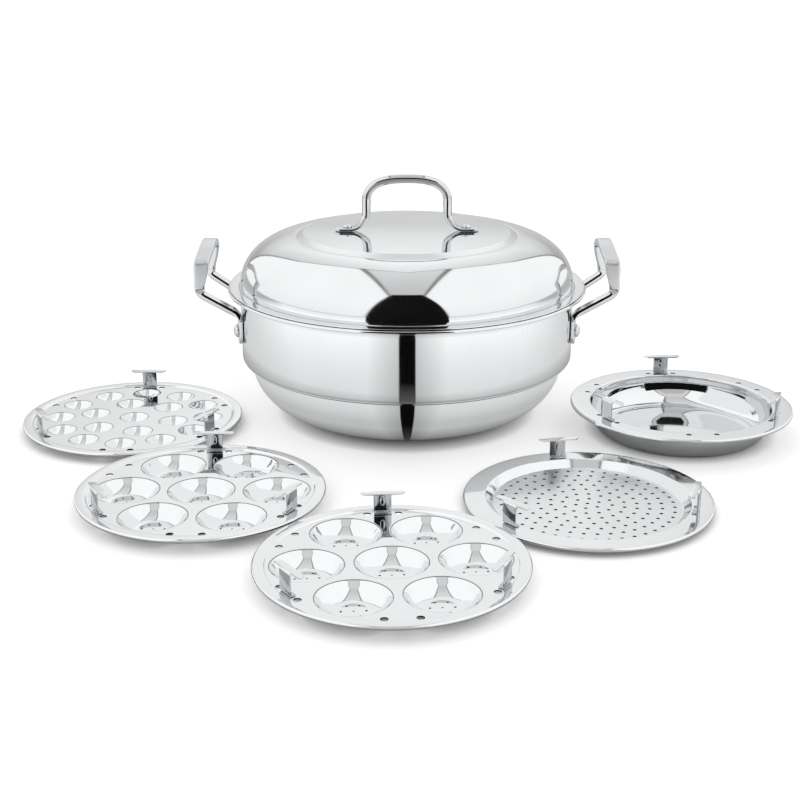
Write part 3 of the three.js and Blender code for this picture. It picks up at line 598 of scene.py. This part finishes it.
steamer_steel = polished_steel("satin_stainless_steel_steamer", (x, y), "#E6E7E8", "#DCDEDF", 0.07, 0.11,
                               SATIN_FLOOR)
thicken(steamer, PLATE_SHEET, (steamer_steel, punched_edge))
settle(steamer, (x, y, 0), turn)
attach(steamer, "steamer")
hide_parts("steamer_plate")

# Dhokla plate: a deep dish drawn from 1 mm sheet, with a rounded wall, polished all over.
# Its flange has a rolled edge and pairs of punched steam holes.
DHOKLA_DECK, DHOKLA_STEAM_R = 26, 2.2
DHOKLA_WELL_LINE = [
    (0, FLOOR), (40, FLOOR),
    *bend((62, 22), (15.2, 21), -90, -2, 26),           # floor to wall
    *bend((78.6, 24.6), (1.4, 1.4), 178, 90, 6),        # wall to flange
    (79, DHOKLA_DECK),
]
DHOKLA_EDGE_LINE = [(86, DHOKLA_DECK), (90, DHOKLA_DECK), *bend((93.4, 24.4), (1.6, 1.6), 90, -60, 10)]
x, y, turn = PLACES["dhokla"]
dhokla = spin_profile("dhokla_tray", DHOKLA_WELL_LINE, 180)
flange = spin_profile("dhokla_edge", DHOKLA_EDGE_LINE, 180)
bpy.ops.object.select_all(action="DESELECT")
flange.select_set(True)
dhokla.select_set(True)
bpy.context.view_layer.objects.active = dhokla
bpy.ops.object.join()
bpy.ops.object.mode_set(mode="EDIT")
punch(STEAM_PLACES, DHOKLA_STEAM_R, DHOKLA_DECK, 20)
fill_level(dhokla, DHOKLA_DECK)
bpy.ops.object.mode_set(mode="OBJECT")
face_up(dhokla)
dhokla_steel = polished_steel("buffed_stainless_steel_dhokla", (x, y), "#E6E7E8", "#DCDEDF", 0.035, 0.07)
thicken(dhokla, PLATE_SHEET, (dhokla_steel, punched_edge))
settle(dhokla, (x, y, 0), turn)
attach(dhokla, "dhokla")
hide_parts("dhokla_plate")

# Plate brackets: a strip of 1.2 mm steel bent to a foot, an upright and a T-shaped tab for the next plate.
# The foot is spot-welded to the deck, and a pressed bead stiffens the upright. Only the tab is polished.
STRIP_SHEET, STRIP_HALF, STRIP_FOLD, STRIP_CORNER = 1.2, 6.5, 1.6, 2.5
BRACKET_X, FOOT, FOOT_GAP, TAB, TAB_RISE, TAB_WING = 84, 4.6, 0.2, 7, 17.3, 9.5
BEAD, BEAD_RISE = (0.55, 2.1, 4.1), 9.4
WELD, WELD_IN, WELD_APART = (0.9, 0.9, 0.2), 3.4, 3.2
DECKS = {"mini_idli": MINI_DECK, "idli_left": IDLI_DECK, "idli_front": IDLI_DECK, "steamer": STEAMER_DECK,
         "dhokla": DHOKLA_DECK}
strip_steel = drawn_steel("mill_finished_stainless_steel_strip", "#C4C6C8", "#AEB0B2", 0.06, 0.12)
tab_steel = drawn_steel("polished_stainless_steel_tab", "#E4E5E6", "#D8DADB", 0.05, 0.1)
for plate_name, deck in DECKS.items():
    px, py, turn = PLACES[plate_name]
    low, high = deck + FOOT_GAP, deck + TAB_RISE
    fold, fold_x = (STRIP_FOLD, STRIP_FOLD), BRACKET_X - STRIP_FOLD
    line = [(BRACKET_X - FOOT, low), *bend((fold_x, low + STRIP_FOLD), fold, -90, 0, 5),
            *bend((fold_x, high - STRIP_FOLD), fold, 0, 90, 5), (BRACKET_X - TAB, high)]
    for number, angle in enumerate((90, 210, 330), 1):
        bpy.ops.object.select_all(action="DESELECT")
        bpy.ops.mesh.primitive_plane_add(size=1)
        strip = bpy.context.object
        strip.name = strip.data.name = f"{plate_name}_strip_{number}"
        bpy.ops.object.mode_set(mode="EDIT")
        bpy.ops.mesh.merge(type="CENTER")
        bpy.ops.transform.translate(value=(line[0][0], -STRIP_HALF, line[0][1]))
        for (x0, z0), (x1, z1) in zip(line, line[1:]):
            bpy.ops.mesh.extrude_vertices_move(TRANSFORM_OT_translate={"value": (x1 - x0, 0, z1 - z0)})
        bpy.ops.mesh.select_all(action="SELECT")
        bpy.ops.mesh.extrude_region_move(TRANSFORM_OT_translate={"value": (0, 2 * STRIP_HALF, 0)})
        bpy.ops.mesh.select_mode(type="EDGE")
        for way in (-1, 1):
            bpy.ops.mesh.select_all(action="DESELECT")
            strip_mesh = bmesh.from_edit_mesh(strip.data)
            for edge in strip_mesh.edges:
                on_tab = all(abs(v.co.z - high) < 0.01 and abs(v.co.y - way * STRIP_HALF) < 0.01
                             for v in edge.verts)
                edge.select_set(on_tab and edge.calc_length() > 3)
            bpy.ops.mesh.extrude_region_move(TRANSFORM_OT_translate={"value": (0, way * TAB_WING, 0)})
        bpy.ops.mesh.select_mode(type="VERT")
        bpy.ops.mesh.select_all(action="DESELECT")
        strip_mesh = bmesh.from_edit_mesh(strip.data)
        for vertex in strip_mesh.verts:
            at_tip = abs(vertex.co.y) > STRIP_HALF + TAB_WING - 0.1
            vertex.select_set(at_tip and abs(vertex.co.x - BRACKET_X + TAB) < 0.01)
        bpy.ops.mesh.bevel(offset=STRIP_CORNER, affect="VERTICES", segments=1)
        bpy.ops.mesh.select_all(action="SELECT")
        bpy.ops.mesh.normals_make_consistent(inside=False)
        strip_mesh = bmesh.from_edit_mesh(strip.data)
        strip_mesh.faces.ensure_lookup_table()
        top = max(strip_mesh.faces, key=lambda face: face.calc_center_median().z)
        if top.normal.z < 0:
            bpy.ops.mesh.flip_normals()
        bpy.ops.object.mode_set(mode="OBJECT")
        thicken(strip, STRIP_SHEET)
        bpy.ops.object.modifier_add(type="BEVEL")
        strip.modifiers["Bevel"].width = 0.25
        strip.modifiers["Bevel"].segments = 2
        strip.modifiers["Bevel"].angle_limit = math.radians(50)
        bpy.ops.object.modifier_apply(modifier="Bevel")
        bpy.ops.object.mode_set(mode="EDIT")
        bpy.ops.mesh.primitive_uv_sphere_add(segments=28, ring_count=14, radius=1, scale=BEAD,
                                             location=(BRACKET_X - STRIP_SHEET, 0, low + BEAD_RISE))
        for across in (-WELD_APART, WELD_APART):
            bpy.ops.mesh.primitive_uv_sphere_add(segments=16, ring_count=8, radius=1, scale=WELD,
                                                 location=(BRACKET_X - WELD_IN, across, low + STRIP_SHEET))
        bpy.ops.object.mode_set(mode="OBJECT")
        strip.data.transform(Matrix.Rotation(math.radians(angle), 4, "Z"))
        settle(strip, (px, py, 0), turn)
        strip.data.materials.append(strip_steel)
        strip.data.materials.append(tab_steel)
        for face in strip.data.polygons:
            on_tab = face.center.z * 1000 > high - STRIP_SHEET - 0.3
            face.material_index = int(on_tab)
        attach(strip, plate_name)
        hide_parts(f"{plate_name}_bracket_{number}")

# Table: a sheet of matt white paper that runs on out of sight and takes the shadows of the pieces.
# A faint glow that only the camera sees lifts it to white, apart from the narrow gaps under the pieces.
bpy.ops.object.select_all(action="DESELECT")
bpy.ops.mesh.primitive_plane_add(size=60)
table = bpy.context.object
table.name = "white_table"
paper = bpy.data.materials.new("white_paper")
paper.use_nodes = True
pulp = paper.node_tree
matt = pulp.nodes["Principled BSDF"]
matt.inputs["Roughness"].default_value = 0.9
matt.inputs["Emission Color"].default_value = (1, 1, 1, 1)
grain = add_node(pulp, "TexNoise", {"Scale": 900, "Detail": 2})
shade = add_node(pulp, "MapRange", {"To Min": 0.56, "To Max": 0.6}, {"Value": grain})
pulp.links.new(shade.outputs["Result"], matt.inputs["Base Color"])
seen = add_node(pulp, "LightPath", {})
open_air = add_node(pulp, "AmbientOcclusion", {"Distance": 0.012, "samples": 8})
glow = add_node(pulp, "MapRange", {"To Min": 0, "To Max": 0.5}, {"Value": open_air.outputs["AO"]})
lift = add_node(pulp, "Math", {"operation": "MULTIPLY"}, {0: seen.outputs["Is Camera Ray"], 1: glow})
pulp.links.new(lift.outputs["Value"], matt.inputs["Emission Strength"])
table.data.materials.append(paper)


# Tent: white cloth all round, which lights the pieces. Its two sides lean together and leave a pale slit overhead.
# Its back is a greyer sheet. Its front is another, with an opening for the camera that is dark only when it is
# mirrored twice, so that a deck seen from behind stays light. To the camera the tent is plain white.
def fade(tree, rows, light=None):
    """A brightness times soft steps, each a row of (what it goes by, low, high, value before, value after)."""
    for source, low, high, before, after in rows:
        part = add_node(tree, "MapRange", {"From Min": low, "From Max": high, "To Min": before, "To Max": after},
                        {"Value": source})
        light = part if light is None else add_node(tree, "Math", {"operation": "MULTIPLY"}, {0: light, 1: part})
    return light


SEAM = 0.25


def let_in(tree, cloth, margin, panel=None, brightness=0):
    """A panel let into the cloth where the margin is above 0, with a thin dark seam round it.

    The panel has its own shading, or else the one brightness that is given.
    """
    links = {0: fade(tree, [(margin, -0.005, 0.005, 0, 1)]), 2: cloth}
    if panel is not None:
        links[3] = panel
    joined = add_node(tree, "Mix", {3: brightness}, links)
    from_edge = add_node(tree, "Math", {"operation": "ABSOLUTE"}, {0: margin})
    on_seam = fade(tree, [(from_edge, 0.008, 0.024, 1, 0)])
    return add_node(tree, "Mix", {3: SEAM}, {0: on_seam, 2: joined})


world = bpy.data.worlds.new("white_tent")
bpy.context.scene.world = world
world.use_nodes = True
tent = world.node_tree
direction = add_node(tent, "TexCoord", {})
axes = add_node(tent, "SeparateXYZ", {}, {"Vector": direction.outputs["Generated"]})
to_back, rise = axes.outputs["Y"], axes.outputs["Z"]
aside = add_node(tent, "Math", {"operation": "ABSOLUTE"}, {0: axes.outputs["X"]})

# The slit overhead, between two straight edges. A margin is how far a direction lies inside a panel's edges.
SLIT_HALF = 0.19
upward = add_node(tent, "Math", {"operation": "MAXIMUM", 1: 0.01}, {0: rise})
from_ridge = add_node(tent, "Math", {"operation": "DIVIDE"}, {0: aside, 1: upward})
slit_margin = add_node(tent, "Math", {"operation": "SUBTRACT", 0: SLIT_HALF}, {1: from_ridge})
slit = fade(tent, [(to_back, -0.3, 0.45, 0.72, 0.9)])
sides = fade(tent, [(rise, 0, 0.5, 1.13, 1.22)])
lining = let_in(tent, sides, slit_margin, slit)

# The back sheet narrows towards its top. It is brightest in the middle and greyer near the table.
behind = add_node(tent, "Math", {"operation": "MAXIMUM", 1: 0.01}, {0: to_back})
back_rise = add_node(tent, "Math", {"operation": "DIVIDE"}, {0: rise, 1: behind})
back_side = add_node(tent, "Math", {"operation": "DIVIDE"}, {0: aside, 1: behind})
back_half = fade(tent, [(back_rise, 0.8611, 4, 0.5, -0.9282)])
back_margin = add_node(tent, "Math", {"operation": "SUBTRACT"}, {0: back_half, 1: back_side})
back_sheet = fade(tent, [(aside, 0.05, 0.42, 1.1, 0.72), (rise, 0.17, 0.23, 0.66, 0.84),
                         (rise, 0.23, 0.36, 1, 1.25), (rise, 0.6, 0.85, 1, 0.9)])
lining = let_in(tent, lining, back_margin, back_sheet)

# The front sheet and the opening in it. The sides of each lean in: the rise where that starts, the rise at the top,
# and the half widths at the two.
FRONT_SHEET, OPENING = (0, 1.8, 0.51, 0.29), (0.3, 0.85, 0.38, 0.25)
FRONT_BRIGHTNESS = 0.8
to_front = add_node(tent, "Math", {"operation": "MULTIPLY", 1: -1}, {0: to_back})
ahead = add_node(tent, "Math", {"operation": "MAXIMUM", 1: 0.01}, {0: to_front})
front_rise = add_node(tent, "Math", {"operation": "DIVIDE"}, {0: rise, 1: ahead})
front_side = add_node(tent, "Math", {"operation": "DIVIDE"}, {0: aside, 1: ahead})
margins = []
for low, top, wide, narrow in (FRONT_SHEET, OPENING):
    half = fade(tent, [(front_rise, low, top, wide, narrow)])
    from_side = add_node(tent, "Math", {"operation": "SUBTRACT"}, {0: half, 1: front_side})
    from_top = add_node(tent, "Math", {"operation": "SUBTRACT", 0: top}, {1: front_rise})
    margins.append(add_node(tent, "Math", {"operation": "MINIMUM"}, {0: from_side, 1: from_top}))
lining = let_in(tent, lining, margins[0], brightness=FRONT_BRIGHTNESS)
rays = add_node(tent, "LightPath", {})
opening = fade(tent, [(rays.outputs["Ray Depth"], 2.2, 2.8, 0.6, 0.015)])
in_opening = fade(tent, [(margins[1], -0.01, 0.01, 0, 1)])
opened = add_node(tent, "Mix", {}, {0: in_opening, 2: lining, 3: opening})
shown = add_node(tent, "Mix", {3: 1}, {0: rays.outputs["Is Camera Ray"], 2: opened})
tent.links.new(shown.outputs[0], tent.nodes["Background"].inputs["Color"])
tent.nodes["Background"].inputs["Strength"].default_value = 1


# Bright cover: a white cloth just above the plates that dips in round the pot, so that the pot mirrors a clear
# table. A dark runner on it, from the pot towards the camera, gives the pot's wall and bowl their dark stripe.
def reflected_cloth(name, brightness, shading=None, reach=(0, 10)):
    """Cloth that glows on the front of its piece and is clear from behind.

    It has one brightness, or the shading finds it from the place. It shows only to steel that is as far from it as
    the reach says, in metres.
    """
    cloth = bpy.data.materials.new(name)
    cloth.use_nodes = True
    weave = cloth.node_tree
    weave.nodes.remove(weave.nodes["Principled BSDF"])
    glow = add_node(weave, "Emission", {"Color": (1, 1, 1, 1), "Strength": brightness})
    if shading:
        place = add_node(weave, "TexCoord", {}).outputs["Object"]
        weave.links.new(shading(weave, place).outputs[0], glow.inputs["Strength"])
    clear = add_node(weave, "BsdfTransparent", {})
    side = add_node(weave, "NewGeometry", {})
    trip = add_node(weave, "LightPath", {}).outputs["Ray Length"]
    too_near = add_node(weave, "Math", {"operation": "LESS_THAN", 1: reach[0]}, {0: trip})
    too_far = add_node(weave, "Math", {"operation": "GREATER_THAN", 1: reach[1]}, {0: trip})
    beyond = add_node(weave, "Math", {"operation": "MAXIMUM"}, {0: too_near, 1: too_far})
    unseen = add_node(weave, "Math", {"operation": "MAXIMUM"}, {0: side.outputs["Backfacing"], 1: beyond})
    both = add_node(weave, "MixShader", {}, {0: unseen, 1: glow, 2: clear})
    weave.links.new(both.outputs["Shader"], weave.nodes["Material Output"].inputs["Surface"])
    return cloth


def hang(piece, cloth):
    """Hangs a cloth in the studio, where only reflections show it."""
    piece.data.materials.append(cloth)
    piece.visible_camera = piece.visible_diffuse = piece.visible_shadow = False


RUNNER_START = 0.077


def cover_shading(weave, place):
    """White, greyer behind and under the pot, with a dark runner that widens towards the camera."""
    plan = add_node(weave, "SeparateXYZ", {}, {"Vector": place})
    flat = add_node(weave, "VectorMath", {"operation": "MULTIPLY", 1: (1, 1, 0)}, {0: place})
    from_axis = add_node(weave, "VectorMath", {"operation": "LENGTH"}, {0: flat}).outputs["Value"]
    outside = fade(weave, [(from_axis, 0.1486, 0.1488, 0, 1)])
    # Painted shadow: the grey under the pot and just round it stands for the table's shade there, as the pot mirrors
    # it.
    under = fade(weave, [(from_axis, 0.088, 0.132, 0.03, 1), (plan.outputs["Z"], 0, 0.046, 0.66, 0.95)])
    beyond = fade(weave, [(from_axis, 0.15, 0.36, 0.88, 1.33), (from_axis, 0.15, 0.185, 0.5, 1),
                          (from_axis, 0.42, 0.8, 1, 0.85)])
    white = add_node(weave, "Mix", {}, {0: outside, 2: under, 3: beyond})
    # The runner's sides spread from a point under the pot. Behind that point there is no runner.
    forward = add_node(weave, "Math", {"operation": "MULTIPLY_ADD", 1: -1, 2: -RUNNER_START},
                       {0: plan.outputs["Y"]})
    length = add_node(weave, "Math", {"operation": "MAXIMUM", 1: 0.001}, {0: forward})
    sideways = add_node(weave, "Math", {"operation": "ABSOLUTE"}, {0: plan.outputs["X"]})
    slope = add_node(weave, "Math", {"operation": "DIVIDE"}, {0: sideways, 1: length})
    past_point = add_node(weave, "Math", {"operation": "LESS_THAN", 1: 0}, {0: forward})
    spread = add_node(weave, "Math", {"operation": "ADD"}, {0: slope, 1: past_point})
    white = fade(weave, [(plan.outputs["Y"], -0.12, 0.25, 1, 0.5), (spread, 0.1, 0.5, 0.66, 1)], white)
    near = fade(weave, [(from_axis, 0.09, 0.14, 0.07, 0.004)])
    far = fade(weave, [(from_axis, 0.15, 0.21, 0.16, 0.004)])
    runner = add_node(weave, "Mix", {}, {0: outside, 2: near, 3: far})
    half = fade(weave, [(from_axis, 0.36, 0.4, 0.0975, 0.45)])
    past_edge = add_node(weave, "Math", {"operation": "SUBTRACT"}, {0: spread, 1: half})
    on_runner = fade(weave, [(past_edge, -0.0075, 0.0075, 1, 0)])
    return add_node(weave, "Mix", {}, {0: on_runner, 2: white, 3: runner})


COVER_LINE = [
    (84, 0.4), (120, 0.5), *bend((133.5, 15.5), (15, 15), -90, 0, 10),      # dip under the bowl
    (148.5, 45.6), (148.8, 46.2), (400, 46.2), (3000, 46.2),                # level above the plates
]
cover = spin_profile("bright_cover", COVER_LINE, 96)
face_up(cover)
settle(cover)
hang(cover, reflected_cloth("white_cover_cloth", 1, cover_shading))

# White screen: cloth that hangs round the pot beyond its handles, with its front to the outside.
# The plates mirror it in place of the pot, so that their decks stay light.
SCREEN_LINE = [(192, 20), (192, 210)]
screen = spin_profile("white_screen", SCREEN_LINE, 64)
face_out()
settle(screen)
hang(screen, reflected_cloth("white_screen_cloth", brightness=1.05))


# Dark card: black card bent round the pot, between it and the camera.
# The lid's dome mirrors it as a dark patch with a flat top.
def lay_sheet(name, rows, front):
    """A sheet through rows of points in millimetres, with its front in one direction."""
    bpy.ops.object.select_all(action="DESELECT")
    bpy.ops.mesh.primitive_grid_add(x_subdivisions=len(rows[0]) - 1, y_subdivisions=len(rows) - 1, size=1)
    sheet = bpy.context.object
    sheet.name = name
    points = [point for row in rows for point in row]
    for vertex, point in zip(sheet.data.vertices, points):
        vertex.co = point
    sheet.data.update()
    middle = sheet.data.polygons[len(sheet.data.polygons) // 2]
    if middle.normal.dot(front) < 0:
        sheet.data.flip_normals()
    settle(sheet)
    return sheet


BLACK = 0.006
TO_BACK = Vector((0, 1, 0))
CARD_R = 189
# Height in millimetres, and half the card's width there in degrees round the pot.
DARK_CARD = [(98, 15), (104, 16), (115.5, 16.3), (123, 16.1), (131, 15.6), (138.5, 15.1), (146.5, 14.5),
             (155, 14), (164.6, 13.3), (176, 12.3), (189.5, 10.9), (206, 9.6), (232, 7.4)]
card_rows = []
for height, half in DARK_CARD:
    turns = [math.radians(half * (1 - column / 4)) for column in range(9)]
    card_rows.append([(CARD_R * math.sin(turn), -CARD_R * math.cos(turn), height) for turn in turns])
hang(lay_sheet("dark_card", card_rows, TO_BACK), reflected_cloth("black_card_cloth", BLACK, reach=(0, 0.115)))

# Black collar: a half round of black card over the dhokla plate, on the camera's side.
# The back wall of the plate's well mirrors it as a dark band.
COLLAR_R, COLLAR_LOW, COLLAR_HIGH = 65, 6, 66
COLLAR_START, COLLAR_SWEEP, COLLAR_STEPS = -155, 130, 24
x, y = PLACES["dhokla"][:2]
turns = [math.radians(COLLAR_START + COLLAR_SWEEP * i / COLLAR_STEPS) for i in range(COLLAR_STEPS + 1)]
collar_rows = [[(x + COLLAR_R * math.cos(turn), y + COLLAR_R * math.sin(turn), height) for turn in turns]
               for height in (COLLAR_LOW, COLLAR_HIGH)]
collar = lay_sheet("black_collar", collar_rows, TO_BACK)
hang(collar, reflected_cloth("black_collar_cloth", BLACK, reach=(0.1, 0.15)))

# Black flags: a strip of black card in front of each leg of the side handles.
# The round rods mirror them as a dark line. Each hangs in the direction that the front of its leg mirrors.
FLAG_HALF, FLAG_GAP, LEG_FOOT_X = 4.5, 11, 150
flag_cloth = reflected_cloth("black_flag_cloth", BLACK, reach=(0, 0.02))
for side in (-1, 1):
    for end, toward in ((-1, Vector((-side * 0.565, -0.825, 0))), (1, Vector((-side * 0.09, -0.98, 0.15)))):
        high = Vector((side * (ELBOW_X + 1), end * ELBOW_Y, ELBOW_Z + 1))
        low = Vector((side * LEG_FOOT_X, end * PAD_Y, PAD_BEND_Z + 1))
        edge = (low - high).cross(toward).normalized() * FLAG_HALF
        gap = toward * FLAG_GAP
        flag_rows = [[high - edge + gap, low - edge + gap], [high + edge + gap, low + edge + gap]]
        hang(lay_sheet("black_flag", flag_rows, -toward), flag_cloth)


# Grey flag: a strip of card in front of the lid handle's arch, grey with a black top edge.
# The rod mirrors it as a thin dark line over a grey underside.
def flag_shading(weave, place):
    """Grey up to the top of the handle and black above it."""
    height = add_node(weave, "SeparateXYZ", {}, {"Vector": place}).outputs["Z"]
    return fade(weave, [(height, 0.2118, 0.2126, 0.38, 0.02)])


GREY_HALF, GREY_Y, GREY_LOW, GREY_HIGH = 33, -16, 190, 222
grey_rows = [[(GREY_HALF, GREY_Y, height), (-GREY_HALF, GREY_Y, height)] for height in (GREY_LOW, GREY_HIGH)]
grey_flag = lay_sheet("grey_flag", grey_rows, TO_BACK)
hang(grey_flag, reflected_cloth("grey_flag_cloth", BLACK, flag_shading, reach=(0, 0.02)))

# Camera: at the photograph's station, 1.2 m in front of the pot's axis and 0.42 m above the table.
# It looks down 18.4 degrees, with a small shift that sets the object at its height in the frame.
LOOK_DOWN = 18.41
bpy.ops.object.camera_add(location=(-0.006, -1.2, 0.4194), rotation=(math.radians(90 - LOOK_DOWN), 0, 0))
camera = bpy.context.object
camera.data.sensor_width = 36
camera.data.lens = 62.4
camera.data.shift_y = -0.016
bpy.context.scene.camera = camera
bpy.context.scene.view_settings.view_transform = "Standard"
